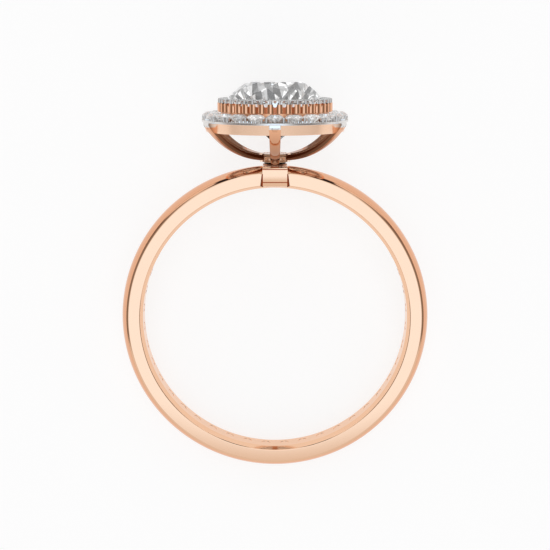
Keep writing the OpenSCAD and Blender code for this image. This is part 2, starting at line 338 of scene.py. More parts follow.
def makeMetal(name, plateZ=None, plateR=None, base="gold", finish="gloss", paintedShadeZ=None):
    # metal of the base colour, plated white above plateZ and closer than plateR to the
    # head's axis, and darkened by painted shade from the higher to the lower shade height
    material, nodes, links, shader = newShader(name)
    shader.inputs["Metallic"].default_value = 1
    coords = nodes.new("ShaderNodeTexCoord")
    cloud = nodes.new("ShaderNodeTexNoise")
    cloud.inputs["Scale"].default_value = metalLook["cloud"]
    links.new(coords.outputs["Object"], cloud.inputs["Vector"])
    tint = nodes.new("ShaderNodeMix")
    tint.data_type = "RGBA"
    tint.inputs["A"].default_value = metalLook[base]
    tint.inputs["B"].default_value = [part * metalLook["deeper"] for part in metalLook[base]]
    links.new(cloud.outputs["Fac"], tint.inputs["Factor"])
    colour = tint.outputs["Result"]

    def math3(operation, source, vector):
        step = nodes.new("ShaderNodeVectorMath")
        step.operation = operation
        links.new(source, step.inputs[0])
        step.inputs[1].default_value = vector
        return step.outputs

    # mixes in the white plating, or the painted shade
    def platedOrShaded(under, value, start, end, over="white"):
        split = nodes.new("ShaderNodeMapRange")
        split.inputs["From Min"].default_value = start
        split.inputs["From Max"].default_value = end
        links.new(value, split.inputs["Value"])
        plate = nodes.new("ShaderNodeMix")
        plate.data_type = "RGBA"
        plate.inputs["B"].default_value = metalLook[over]
        links.new(split.outputs["Result"], plate.inputs["Factor"])
        links.new(under, plate.inputs["A"])
        return plate.outputs["Result"]

    blur = metalLook["plateEdge"]
    height = math3("DOT_PRODUCT", coords.outputs["Object"], upward)["Value"]
    # painted shade, darkest at the lower height
    if paintedShadeZ:
        low, top = ((ringFrame @ Vector((0, 0, z))).dot(upward) for z in paintedShadeZ)
        colour = platedOrShaded(colour, height, top, low, "shade")
    if plateZ is not None:
        edge = (ringFrame @ Vector((0, 0, plateZ))).dot(upward)
        colour = platedOrShaded(colour, height, edge - blur, edge + blur)
    if plateR is not None:
        fromAxis = math3("SUBTRACT", coords.outputs["Object"], ringFrame.translation)["Vector"]
        sideways = math3("CROSS_PRODUCT", fromAxis, upward)["Vector"]
        reach = math3("LENGTH", sideways, upward)["Value"]
        edge = plateR / 1000
        colour = platedOrShaded(colour, reach, edge + blur, edge - blur)
    links.new(colour, shader.inputs["Base Color"])
    grain = nodes.new("ShaderNodeTexNoise")
    grain.inputs["Scale"].default_value = metalLook["grain"]
    links.new(coords.outputs["Object"], grain.inputs["Vector"])
    gloss = nodes.new("ShaderNodeMapRange")
    gloss.inputs["To Min"].default_value = metalLook[finish][0]
    gloss.inputs["To Max"].default_value = metalLook[finish][1]
    links.new(grain.outputs["Fac"], gloss.inputs["Value"])
    links.new(gloss.outputs["Result"], shader.inputs["Roughness"])
    bump = nodes.new("ShaderNodeBump")
    bump.inputs["Strength"].default_value = metalLook["scratch"]
    bump.inputs["Distance"].default_value = metalLook["scratchDeep"]
    links.new(grain.outputs["Fac"], bump.inputs["Height"])
    links.new(bump.outputs["Normal"], shader.inputs["Normal"])
    return material


stoneLook = {
    "bends": 2.42,  # index of refraction
    "polish": 2500,
    "roughest": 0.004,
    # painted tones and glows for the stones' backs, standing for reflections and stray light
    "darkTone": 0.28,
    "lightGlow": 0.19,
    "fineTone": 0.8,
    "fineGlow": 0.1,
}


def makeDiamond(name, mirrored=0.0, glow=0.0, tone=1.0):
    # a cut stone; mirrored facets throw the light back, toned darker or paler as painted
    # reflections, and a faint glow is painted light for the light that goes astray between them
    material, nodes, links, shader = newShader(name)
    shader.inputs["Base Color"].default_value = (tone, tone, tone, 1)
    shader.inputs["Transmission Weight"].default_value = 1
    shader.inputs["Metallic"].default_value = mirrored
    shader.inputs["Emission Color"].default_value = (1, 1, 1, 1)
    shader.inputs["Emission Strength"].default_value = glow
    shader.inputs["IOR"].default_value = stoneLook["bends"]
    coords = nodes.new("ShaderNodeTexCoord")
    polish = nodes.new("ShaderNodeTexNoise")
    polish.inputs["Scale"].default_value = stoneLook["polish"]
    links.new(coords.outputs["Object"], polish.inputs["Vector"])
    gloss = nodes.new("ShaderNodeMapRange")
    gloss.inputs["To Min"].default_value = 0
    gloss.inputs["To Max"].default_value = stoneLook["roughest"]
    links.new(polish.outputs["Fac"], gloss.inputs["Value"])
    links.new(gloss.outputs["Result"], shader.inputs["Roughness"])
    return material


roseGold = makeMetal("roseGold")
whitePlate = makeMetal("whitePlate", base="white")
# the darker copy of the gold is painted shade
deepGold = makeMetal("deepGold", base="deepGold")
# the dark brown is painted shade
shadeGold = makeMetal("shadeGold", base="shade")
# the darker brown is painted shade
lineGold = makeMetal("lineGold", base="line")
# the near black is a painted shadow
seamGold = makeMetal("seamGold", base="seam", finish="satin")
diamond = makeDiamond("diamond")
# mirrored backs toned and glowing as painted reflections and painted light
darkBack = makeDiamond("darkBack", 1, 0, stoneLook["darkTone"])
lightBack = makeDiamond("lightBack", 1, stoneLook["lightGlow"])
fineBack = makeDiamond("fineBack", 1, stoneLook["fineGlow"], stoneLook["fineTone"])
print("materials made")


# The band: a domed hoop with bevelled inside edges and a row of blind recesses

band = {
    "sideWidth": 1.8,
    "thickness": 1.0,
    "bevelAcross": 0.18,
    "bevelAlong": 0.33,
    "softEdge": 0.11,
    "softInside": 0.04,
    "domeSteps": 24,
    "hoopSteps": 256,
    "recessWide": 0.57,
    "recessDeep": 0.012,
    "recessLand": 0.66,  # bare wall between two recesses
    "recessSides": 24,
}


def makeBand():
    half = band["sideWidth"] / 2
    flat = half - band["bevelAlong"]
    bevelR = holeR + band["bevelAcross"]
    edgeR = holeR + band["thickness"]
    crownR = -shankLow.z
    domeR = (half ** 2 + (crownR - edgeR) ** 2) / (2 * (crownR - edgeR))
    spread = math.degrees(math.asin(half / domeR))
    dome = arcPoints((crownR - domeR, 0), domeR, -spread, spread, band["domeSteps"])
    outline = [(holeR, flat), (holeR, -flat), (bevelR, -half)] + dome + [(bevelR, half)]
    outline = [(r, y, 0) for r, y in outline]
    inner = [p for p in outline if p[0] < edgeR - tolerance["corner"]]
    outer = [p for p in outline if abs(p[0] - edgeR) < tolerance["corner"]]
    hoop = spunOutline("band", outline, (0, 1, 0), band["hoopSteps"],
                       ((inner, band["softInside"]), (outer, band["softEdge"])))
    count = int(2 * math.pi * holeR / (band["recessWide"] + band["recessLand"]))
    drill = addTube("drill", band["recessSides"], band["recessWide"] / 2,
                    -holeR - band["recessDeep"], -holeR / 2)
    drills = [movedCopy(drill, "drill", Matrix.Rotation((i + 0.5) * math.tau / count, 4, "Y"))
              for i in range(count)]
    bpy.data.objects.remove(drill)
    return combined(hoop, joined(drills, "drills"), "DIFFERENCE")


# The saddle block on top of the band, with the wedge-shaped notches beside it

saddle = {
    "width": 1.56,
    "earOut": 0.025,  # how much wider the block's upper part is, on each side
    "earHeight": 0.45,
    "lift": 0.11,  # from the finger hole's wall up to the block's foot
    "footHeight": 0.23,
    "footLean": 0.04,
    "faceLean": 0.055,
    "breakDrop": 0.586,  # from the seat down to where the face starts to lean
    "lineDrop": 0.2,  # from the seat down to the upper groove
    "groove": 0.06,
    "grooveHigh": 0.06,
    "topBevel": 0.08,
    "topLean": 0.02,
    "earLean": 0.005,
    "softEdge": 0.008,
    "seam": 0.03,  # gap under the head
    "pocket": 0.1,
    "pocketIn": 0.02,
    "notchTop": 0.07,
    "notchFoot": 0.2,
    "notchSlope": 0.85,
    "notchIn": 0.05,
    "cutPast": 0.1,
    # where the grooves and notches get painted shade
    "lineDeep": 0.16,
    "notchFrom": 0.6,
    "notchLow": 0.15,
    "flatFace": 0.97,
}
seatZ = headLow.z - saddle["seam"]
saddleLowZ = holeR + saddle["lift"]


def saddleSlice(name, width, low):
    # the block's side view, pulled across the ring
    front = shankHigh.y
    groove, high = saddle["groove"], saddle["grooveHigh"]
    grooveZ = saddleLowZ + saddle["footHeight"]
    lineZ = seatZ - saddle["lineDrop"]
    foot = front - saddle["faceLean"]
    half = [(foot - saddle["footLean"], saddleLowZ), (foot, grooveZ),
            (foot - groove, grooveZ + high / 4), (foot, grooveZ + high),
            (front, seatZ - saddle["breakDrop"]), (front, lineZ),
            (front - groove, lineZ + high / 3), (front - saddle["earLean"], lineZ + high),
            (front - saddle["topLean"], seatZ - saddle["topBevel"]),
            (front - saddle["topBevel"], seatZ)]
    if low > saddleLowZ:
        half = [(front, low)] + half[5:]
    outline = half + [(-y, z) for y, z in reversed(half)]
    outline = [(-width / 2, y, z) for y, z in outline]
    return pulledOutline(name, outline, (width, 0, 0))


def makeSaddle():
    block = saddleSlice("saddle", saddle["width"], saddleLowZ)
    earWidth = saddle["width"] + 2 * saddle["earOut"]
    ears = saddleSlice("ears", earWidth, seatZ - saddle["earHeight"])
    return bevelled(combined(block, ears, "UNION"), saddle["softEdge"], 2)


def makeNotches():
    # wedges beside the block, whose floors slant down towards it
    half = saddle["width"] / 2
    front = band["sideWidth"] / 2
    wide, narrow = saddle["notchFoot"], saddle["notchTop"]
    deep = wide * saddle["notchSlope"]
    top = seatZ - saddle["earHeight"]
    foot = holeR - band["bevelAcross"] / 2
    wedge = addBlock("wedges", (half - saddle["notchIn"], -front - saddle["cutPast"], foot),
                     (half + wide, deep - front, top))
    corner = Vector((half + wide, -front, foot))
    along = Vector((half + narrow, -front, top)) - corner
    across = Vector((half, deep - front, foot)) - corner
    wedge = bisected(wedge, [(corner, across.cross(along))])
    wedges = [wedge]
    for side, face in ((-1, 1), (1, -1), (-1, -1)):
        copy = movedCopy(wedge, "wedges", Matrix.Diagonal((side, face, 1, 1)))
        editMode(copy)
        wedges.append(closeUp(copy))
    return joined(wedges, "wedges")


def makePockets():
    # room for the block in the band's side faces
    inside, deep = saddle["pocketIn"], saddle["pocket"]
    half = saddle["width"] / 2 - inside
    front = band["sideWidth"] / 2
    past = front + saddle["cutPast"]
    pockets = [addBlock("pockets", (-half, low, saddleLowZ + inside), (half, high, seatZ - inside))
               for low, high in ((-past, deep - front), (front - deep, past))]
    return joined(pockets, "pockets")


def makeShank():
    hoop = combined(makeBand(), makeNotches(), "DIFFERENCE")
    hoop = combined(hoop, makePockets(), "DIFFERENCE")
    half, reach = saddle["width"] / 2 + saddle["earOut"], band["sideWidth"]
    level = addBlock("level", (-half, -reach, seatZ), (half, reach, seatZ + reach))
    hoop = combined(hoop, level, "DIFFERENCE")
    return cleaned(combined(hoop, makeSaddle(), "UNION"))


def inShadedGrooves(centre, normal):
    # true for the faces of the two grooves across the saddle and of the notches beside it, which
    # get painted shade
    half, top = saddle["width"] / 2, seatZ - saddle["earHeight"]
    grooveZ, lineZ = saddleLowZ + saddle["footHeight"], seatZ - saddle["lineDrop"]
    deep = shankHigh.y - abs(centre.y)
    beside = -tolerance["near"] < abs(centre.x) - half < saddle["notchFoot"]
    level = holeR + saddle["notchLow"] < centre.z < top + tolerance["near"]
    outside = abs(centre.y) > saddle["notchFrom"] and abs(normal.y) < saddle["flatFace"]
    if beside and level and outside:
        return True
    onBlock = abs(centre.x) < half and saddle["groove"] / 4 < deep < saddle["lineDeep"]
    corner = tolerance["corner"]
    return onBlock and any(
        -corner < centre.z - z < saddle["grooveHigh"] + corner for z in (grooveZ, lineZ))


def onDome(centre, normal):
    # true for the band's domed outside, which gets the darker gold as painted shade
    beside = centre.z < 0 or abs(centre.x) > saddle["width"] / 2 + saddle["notchFoot"]
    edgeR = holeR + band["thickness"] - band["softEdge"] - tolerance["near"]
    return (beside and abs(normal.y) < tolerance["facing"]
            and math.hypot(centre.x, centre.z) > edgeR)


shank = settle(makeShank(), [roseGold, lineGold, deepGold], ["shank"])
# the dome gets the darker gold in slot 2 as painted shade
paintFaces(shank, 2, onDome)
# the grooves and notches get the darker brown as painted shade
paintFaces(shank, 1, inShadedGrooves)


# The head: base, waist, hub, tabs and arms

hub = {
    "baseHigh": 0.11,
    "baseR": 0.79,
    "waistHigh": 0.13,
    "waistIn": 0.09,
    "cornerR": 0.93,
    "high": 0.38,
    "lipHigh": 0.16,
    "lipOut": 0.03,
    "lipSoft": 0.03,
    "lipSunk": 0.01,
    "roundSides": 64,
    "plateWide": 0.5,
    "plateOut": 0.98,
    "plateSteps": ((0.07, 0), (0.03, -0.07), (0.04, 0), (0.02, 0.035)),  # inset, depth
    "softEdge": 0.02,
    "tabWide": 0.6,
    "tabThick": 0.14,
    "tabDeep": 0.55,
    "tabOver": 0.3,
    "tabSoft": 0.26,
}
waistZ = headLow.z + hub["baseHigh"]
hubZ = waistZ + hub["waistHigh"]
lipZ = hubZ + hub["high"]


def makeHub():
    core = bevelled(addTube("core", 6, hub["cornerR"], hubZ, lipZ), hub["softEdge"])
    lip = bevelled(addTube("lip", 6, hub["cornerR"] + hub["lipOut"], lipZ - hub["lipSunk"],
                           lipZ + hub["lipHigh"]), hub["lipSoft"])
    return joined([core, lip], "hub")


def makeWaist():
    # its ends are sunk into the base and the hub
    return addTube("waist", hub["roundSides"], hub["baseR"] - hub["waistIn"],
                   waistZ - hub["softEdge"], hubZ + hub["softEdge"])


def makePlates():
    # framed squares on the hub's six faces, between the arms
    half = hub["plateWide"] / 2
    inner = hub["cornerR"] / 2
    plate = addBlock("plates", (inner, -half, hubZ), (hub["plateOut"], half, lipZ))
    selectFaces(plate, lambda centre, normal: normal.x > tolerance["facing"])
    for thickness, depth in hub["plateSteps"]:
        bpy.ops.mesh.inset(thickness=thickness, depth=depth)
    closeUp(plate)
    lip = addBlock("lip", (inner, -half, lipZ + hub["softEdge"]),
                   (hub["plateOut"] + hub["lipOut"], half, lipZ + hub["lipHigh"]))
    plate = joined([bevelled(plate, hub["softEdge"], 2), bevelled(lip, hub["softEdge"])],
                   "plates")
    return roundHead(plate, arm["count"], 0.5)


def makeTabs():
    half = hub["tabWide"] / 2
    reach = hub["baseR"] + hub["tabThick"]
    tab = addBlock("tabs", (reach - hub["tabDeep"], -half, headLow.z),
                   (reach, half, hubZ + hub["tabOver"]))
    tabs = roundHead(bevelled(tab, hub["tabSoft"], 6), 2)
    base = bevelled(addTube("base", hub["roundSides"], hub["baseR"], headLow.z, waistZ),
                    hub["softEdge"])
    return joined([tabs, base], "tabs")


arm = {
    "count": 6,
    "wideAtHub": 0.5,
    "wideAtProng": 0.75,
    "thick": 0.38,
    "rootR": 0.65,
    "rootLift": 0.1,
    "rise": 1.76,  # height of the round stretch, which ends at endR
    "endR": 4.5457,
    "heelOut": 0.36,  # how far the bend into the prong reaches
    "heelUp": 0.38,
    "heelSteps": 10,
    "tipOver": 0.79,
    "tipDrop": 0.14,
    "tipLean": 0.03,
    "prongIn": 0.25,
    "prongLift": 0.03,
    "prongTurn": 2,
    "curveSteps": 48,
    "softEdge": 0.03,
    "softFrom": 50,
    "crown": ((0.05, 0.028), (0.08, 0.016), (0.08, 0.006)),  # inset, depth
    "crownFrom": 0.3,  # how far the crowned faces look out and down
    "taperPast": 1,  # the taper reaches its full width this far past the prongs
    "plateDrop": 0.23,  # from the rail down to the edge of the white plating
    "shadeUp": (0.4, 2.4),  # painted shade above the hub's foot, from darkest to plain
}


def makeArms():
    rootZ = hubZ + arm["rootLift"]
    reach = arm["endR"] - arm["rootR"]
    bendR = (reach ** 2 + arm["rise"] ** 2) / (2 * arm["rise"])
    centre = (arm["rootR"], rootZ + bendR)
    sweep = math.degrees(math.asin(reach / bendR))
    crown = sum(depth for thickness, depth in arm["crown"])
    outer = arcPoints(centre, bendR - crown, -90, sweep - 90, arm["curveSteps"])
    inner = arcPoints(centre, bendR - arm["thick"], sweep - 90 - arm["prongTurn"], -90,
                      arm["curveSteps"])
    endZ = rootZ + arm["rise"]
    topZ = endZ + arm["tipOver"]
    tipR = -headLow.y - crown
    start, heel = Vector(outer[-1]), Vector((arm["heelOut"], arm["heelUp"]))
    tip = Vector((tipR, topZ - arm["tipDrop"]))
    for i in range(1, arm["heelSteps"] + 1):
        t = i / arm["heelSteps"]
        point = start * (1 - t) ** 2 + (start + heel) * 2 * t * (1 - t) + tip * t ** 2
        outer.append((point.x, point.y))
    prong = [(tipR - arm["tipLean"], topZ), (arm["endR"] - arm["prongIn"], topZ),
             (arm["endR"] - arm["prongIn"], inner[0][1] + arm["prongLift"])]
    outline = [(arm["rootR"] / 2, rootZ + crown)] + outer + prong + inner
    outline.append((arm["rootR"] / 2, rootZ + arm["thick"]))
    wide = arm["wideAtProng"]
    piece = pulledOutline("arms", [(x, -wide, z) for x, z in outline], (0, 2 * wide, 0))
    taper = (wide - arm["wideAtHub"]) / 2 / (arm["taperPast"] - headLow.y)
    piece = bisected(piece, [((0, side * arm["wideAtHub"] / 2, 0), (-taper, side, 0))
                             for side in (1, -1)])
    piece = bevelled(piece, arm["softEdge"], angle=arm["softFrom"])
    # the outer face is crowned in steps
    selectFaces(piece, lambda centre, normal: abs(normal.y) < tolerance["leaning"]
                and normal.x / 2 - normal.z > arm["crownFrom"])
    for thickness, depth in arm["crown"]:
        bpy.ops.mesh.inset(thickness=thickness, depth=depth)
    closeUp(piece)
    return roundHead(piece, arm["count"])


# The wide halo's wall, rail, stone seats and claws

gallery = {
    "wallHigh": 0.62,
    "wallThick": 0.4,
    "wallLean": 0.15,
    "wallOut": 0.3,
    "railOut": 0.12,
    "railHigh": 0.14,
    "girdleUp": 0.29,  # from the shelf up to the stones' girdles
    "stoneDeep": 0.45,
    "seatDrop": 0.06,
    "seatTip": 0.02,
    "seatSides": 32,
    "shelfIn": 0.2,
    "collarBoreR": 2.75,
    "softEdge": 0.018,
    "steps": 176,
    "clawR": 0.06,
    "clawInR": 0.12,
    "clawOut": 0.49,
    "clawAside": 0.14,
    "clawIn": 0.43,
    "clawOver": 0.02,  # above the girdles
    "grainR": 0.06,
    "grainCount": 110,
    "grainSides": 8,
    "grainRings": 2,
    "grainIn": 0.096,
    "grainHigh": 0.144,
}
haloR = -(haloLow.y + haloHigh.y) / 2
haloStoneR = (haloHigh.y - haloLow.y) / 2
haloGirdleZ = haloLow.z + gallery["stoneDeep"]
haloCount = sum(name.startswith("halo_stone") for name in frame["nodes"])
shelfZ = haloGirdleZ - gallery["girdleUp"]
railZ = shelfZ - gallery["railHigh"]
wallZ = railZ - gallery["wallHigh"]


def makeGallery():
    wallR = haloR + gallery["wallOut"]
    leanR = wallR + gallery["wallLean"]
    railR = leanR + gallery["railOut"]
    shelfR = gallery["collarBoreR"] + gallery["shelfIn"]
    innerR = wallR - gallery["wallThick"]
    outline = [(innerR, wallZ), (wallR, wallZ), (leanR, railZ), (railR, railZ),
               (railR, shelfZ), (shelfR, shelfZ), (shelfR, railZ), (innerR, railZ)]
    outline = [(r, 0, z) for r, z in outline]
    wall = spunOutline("wall", outline, (0, 0, 1), gallery["steps"],
                       ((outline, gallery["softEdge"]),))
    deselectAll()
    middle = haloGirdleZ - gallery["stoneDeep"] / 2 - gallery["seatDrop"]
    bpy.ops.mesh.primitive_cone_add(
        vertices=gallery["seatSides"], radius1=gallery["seatTip"], radius2=haloStoneR,
        depth=gallery["stoneDeep"], location=(haloR, 0, middle))
    bpy.ops.object.transform_apply(location=True, rotation=True, scale=True)
    seats = roundHead(named("seats"), haloCount)
    return cleaned(combined(wall, seats, "DIFFERENCE"))


def makePin(name, x, y, radius, low, top, sides=16, rings=4):
    # a round claw or bead: a short post with a domed end
    pin = addTube(name, sides, radius, low, top - radius)
    selectFaces(pin, lambda centre, normal: normal.z > tolerance["facing"])
    for i in range(1, rings):
        here, before = (math.pi / 2 * k / rings for k in (i, i - 1))
        rise = radius * (math.sin(here) - math.sin(before))
        bpy.ops.mesh.extrude_region_move(TRANSFORM_OT_translate={"value": (0, 0, rise)})
        shrink = math.cos(here) / math.cos(before)
        bpy.ops.transform.resize(value=(shrink, shrink, 1))
    bpy.ops.mesh.poke()
    bpy.ops.mesh.select_all(action="SELECT")
    bpy.ops.transform.translate(value=(x, y, 0))
    return closeUp(pin)


def makeClaws():
    top = haloGirdleZ + gallery["clawOver"]
    foot = railZ + gallery["railHigh"] / 3
    outside, inside = haloR + gallery["clawOut"], haloR - gallery["clawIn"]
    pins = [makePin("claws", outside, y, gallery["clawR"], foot, top)
            for y in (-gallery["clawAside"], gallery["clawAside"])]
    pins.append(makePin("inner", inside, 0, gallery["clawInR"], foot, top))
    return roundHead(joined(pins, "claws"), haloCount, 0.5)


def makeGrains():
    # a row of fine beads along the rail and a row between them and the stones
    railR = haloR + gallery["wallOut"] + gallery["wallLean"] + gallery["railOut"]
    r, count = gallery["grainR"], gallery["grainCount"]
    foot, shape = shelfZ - r / 2, (gallery["grainSides"], gallery["grainRings"])
    low = makePin("grains", railR - r, 0, r, foot, shelfZ + r, *shape)
    high = makePin("high", railR - gallery["grainIn"], 0, r, foot, shelfZ + gallery["grainHigh"],
                   *shape)
    return joined([roundHead(low, count), roundHead(high, count, 0.5)], "grains")


# the arms darken towards the hub with painted shade
armGold = makeMetal("armGold", plateZ=railZ - arm["plateDrop"], base="deepGold",
                    paintedShadeZ=[hubZ + z for z in arm["shadeUp"]])
midWallR = haloR + gallery["wallOut"] - gallery["wallThick"] / 2
# the wall gets the paler gold as painted light
wallGold = makeMetal("wallGold", plateZ=railZ, plateR=midWallR, base="paleGold",
                     finish="satin")
# the hub gets the darker gold as painted shade
settle(makeHub(), [deepGold], ["head"])
# the waist is painted near black, a painted shadow in the gap between base and hub
settle(makeWaist(), [seamGold], ["head"])
settle(makePlates(), [roseGold], ["head"])
# the tabs and the round base get the dark brown of painted shade
settle(makeTabs(), [shadeGold], ["head"])
settle(makeArms(), [armGold], ["head"])
settle(makeGallery(), [wallGold], ["head"])
settle(makeClaws(), [whitePlate], ["head"])
settle(makeGrains(), [whitePlate], ["head"])


# The ribbed collar under the small halo

collar = {
    "ribR": 0.28,
    "ribOut": 0.18,
    "ribHigh": 0.585,
    "ribSoft": 0.015,
    "ribSides": 32,
    "neckIn": 0.02,
    "notchR": 0.12,
    "notchDrop": 0.07,
    "notchSteps": 12,
    "cutIn": 0.05,
    "cutPast": 1,
    "smallDeep": 0.18,
    "smallStoneR": 0.215,
    "stoneDeep": 2.9,
    "rimDrop": 0.09,  # from the centre stone's girdle down to the rim
    "fitGap": 0.03,
    "beadR": 0.07,
    "beadOut": 0.207,
    "beadSunk": 0.05,
    "plateDrop": 0.01,
    "plateIn": 0.1,
    "rimThick": 0.11,
    "grooveOut": 0.117,
    "count": 40,
    "steps": 160,
}
smallGirdleZ = smallLow.z + collar["smallDeep"]
smallR = smallHigh.x - collar["smallStoneR"]
grooveR = smallR + collar["grooveOut"]
ribTopZ = smallGirdleZ - collar["smallDeep"] - collar["fitGap"]
ribZ = ribTopZ - collar["ribHigh"]


def makeCollar():
    slope = centreHigh.x / collar["stoneDeep"]
    rimZ = centreLow.z + collar["stoneDeep"] - collar["rimDrop"]
    rimR = (rimZ - centreLow.z) * slope + collar["fitGap"]
    boreR = gallery["collarBoreR"]
    coneZ = centreLow.z + (boreR - collar["fitGap"]) / slope
    rimOutR = rimR + collar["rimThick"]
    neckR = grooveR - collar["neckIn"]
    outline = [(boreR, collarLow.z), (neckR, collarLow.z), (neckR, ribZ), (grooveR, ribZ),
               (grooveR, ribTopZ), (rimOutR, ribTopZ), (rimOutR, rimZ), (rimR, rimZ),
               (boreR, coneZ)]
    outline = [(r, 0, z) for r, z in outline]
    body = spunOutline("collar", outline, (0, 0, 1), collar["steps"])
    rib = addTube("rib", collar["ribSides"], collar["ribR"], ribZ, ribTopZ)
    editMode(rib)
    bpy.ops.transform.translate(value=(grooveR + collar["ribOut"] - collar["ribR"], 0, 0))
    closeUp(rib)
    rib = bevelled(rib, collar["ribSoft"], 2)
    body = combined(body, roundHead(rib, collar["count"], 0.5), "UNION")
    notchZ = ribTopZ - collar["notchDrop"]
    half, past = collar["notchR"], collar["cutPast"]
    arch = arcPoints((0, notchZ), half, 180, 360, collar["notchSteps"])
    arch += [(half, notchZ + past), (-half, notchZ + past)]
    start = smallR - collar["cutIn"]
    cutter = pulledOutline("cutter", [(start, y, z) for y, z in arch], (past, 0, 0))
    return cleaned(combined(body, roundHead(cutter, collar["count"]), "DIFFERENCE"))


def makeBeads():
    bead = makePin("beads", smallR + collar["beadOut"], 0, collar["beadR"],
                   ribTopZ - collar["beadSunk"], collarHigh.z)
    return roundHead(bead, collar["count"], 0.5)


# the collar gets the darker gold as painted shade
collarGold = makeMetal("collarGold", plateZ=ribTopZ - collar["plateDrop"],
                       plateR=grooveR - collar["plateIn"], base="deepGold")
settle(makeCollar(), [collarGold], ["upper_halo"])
settle(makeBeads(), [whitePlate], ["upper_halo"])


# The stones

centreCut = {
    "tableR": 1.75,
    "crown": 1.06,
    "pavilion": collar["stoneDeep"],
    "girdle": 0.08,
    "scallop": 0.045,  # how far the girdle rises and falls at the main facets
    "lowerIn": 0.23,  # share of the radius that the lower halves leave free
    "sides": 64,
    "turn": 9,
}
haloCut = {
    "tableR": 0.32,
    "crown": 0.17,
    "pavilion": gallery["stoneDeep"],
    "girdle": 0.03,
    "scallop": 0.008,
    "lowerIn": 0.23,
    "sides": 32,
}
smallCut = {
    "tableR": 0.125,
    "crown": 0.06,
    "pavilion": collar["smallDeep"],
    "girdle": 0.01,
    "sides": 16,
}
mainTurn = 45  # degrees from one main facet to the next
paintedSlice = 15  # degrees of a slice of the stone's back that is painted light or dark


def aroundPoint(radius, degrees, z):
    turn = math.radians(degrees)
    return Vector((radius * math.cos(turn), radius * math.sin(turn), z))


def facetPlane(a, b, degrees, upper):
    # the plane through a and b that is level across the given direction
    level = Vector((-math.sin(math.radians(degrees)), math.cos(math.radians(degrees)), 0))
    normal = level.cross(b - a).normalized()
    if (normal.z > 0) != upper:
        normal.negate()
    return a, normal


def brilliant(name, r, cut):
    # table, stars, kites and halves above the girdle, mains and halves below it
    tableR, crown, deep = cut["tableR"], cut["crown"], cut["pavilion"]
    girdle, rise = cut["girdle"], cut["scallop"]
    stone = addTube(name, cut["sides"], r, -deep, girdle + crown)
    cos = math.cos(math.radians(mainTurn / 2))
    starR = (tableR * cos + r) / 2
    starZ = girdle + rise + (r - starR * cos) * (crown - rise) / (r - tableR)
    halfR = cut["lowerIn"] * r
    halfZ = -rise - (r - halfR * cos) * (deep - rise) / r
    cuts = []
    for main in range(0, 360, mainTurn):
        star = main + mainTurn / 2
        cuts.append(facetPlane(aroundPoint(r, main, girdle + rise),
                               aroundPoint(tableR, main, girdle + crown), main, True))
        cuts.append(facetPlane(aroundPoint(r, main, -rise), Vector((0, 0, -deep)), main, False))
        cuts.append(facetPlane(aroundPoint(tableR * cos, star, girdle + crown),
                               aroundPoint(starR, star, starZ), star, True))
        for side in (-mainTurn / 4, mainTurn / 4):
            cuts.append(facetPlane(aroundPoint(r, star + side, girdle),
                                   aroundPoint(starR, star, starZ), star + side, True))
            cuts.append(facetPlane(aroundPoint(r, star + side, 0),
                                   aroundPoint(halfR, star, halfZ), star + side, False))
    return bisected(stone, cuts)


def singleCut(name, r, cut):
    # a small stone with one ring of facets above the girdle and one below it
    top = cut["girdle"] + cut["crown"]
    stone = addTube(name, cut["sides"], r, -cut["pavilion"], top)
    cuts = []
    for main in range(0, 360, mainTurn):
        cuts.append(facetPlane(aroundPoint(r, main, cut["girdle"]),
                               aroundPoint(cut["tableR"], main, top), main, True))
        cuts.append(facetPlane(aroundPoint(r, main, 0),
                               Vector((0, 0, -cut["pavilion"])), main, False))
    return bisected(stone, cuts)


def isPaintedLight(centre, normal):
    # true for the pavilion facets that face two of every three slices, which get painted light;
    # the rest keep a darker painted tone
    if not isBelow(centre, normal):
        return False
    around = math.degrees(normal.xy.angle_signed(Vector((1, 0))))
    return int(around // paintedSlice) % 3 > 0


centreZ = centreHigh.z - centreCut["crown"] - centreCut["girdle"]
stone = brilliant("centreCut", centreHigh.x, centreCut)
move = Matrix.Translation((0, 0, centreZ)) @ Matrix.Rotation(
    math.radians(centreCut["turn"]), 4, "Z")
centreStone = movedCopy(stone, "centreStone", move)
bpy.data.objects.remove(stone)
settle(centreStone, [diamond, darkBack, lightBack], ["centre_stone"], smooth=0)
# the back facets are painted dark and light in slices, as painted reflections
paintFaces(centreStone, 1, isBelow)
paintFaces(centreStone, 2, isPaintedLight)

stone = brilliant("haloStone", haloStoneR, haloCut)
for i in range(haloCount):
    move = (Matrix.Rotation(math.radians(i * 360 / haloCount - 90), 4, "Z")
            @ Matrix.Translation((haloR, 0, haloGirdleZ)))
    copy = movedCopy(stone, "haloStone%02d" % (i + 1), move)
    backs = [diamond, fineBack, lightBack]
    settle(copy, backs, ["halo_stone_%02d" % (i + 1)], smooth=0)
    # the back facets are painted in slices, as painted reflections and painted light
    paintFaces(copy, 1, isBelow)
    paintFaces(copy, 2, isPaintedLight)
bpy.data.objects.remove(stone)

stone = singleCut("smallStones", collar["smallStoneR"], smallCut)
editMode(stone)
bpy.ops.transform.translate(value=(smallR, 0, smallGirdleZ))
closeUp(stone)
stone = roundHead(stone, collar["count"])
settle(stone, [diamond, fineBack], ["upper_halo_stones"], smooth=0)
# the back facets get a toned, glowing mirror as painted reflection and painted light
paintFaces(stone, 1, isBelow)


# Camera, light and floor

camera = {
    "eye": (0, -70.3, 17.0),
    "tilt": 7.66,
    "lens": 71.28,
    "sensor": 36,
    "shift": 0.13,
    "sees": (0.001, 10),
}


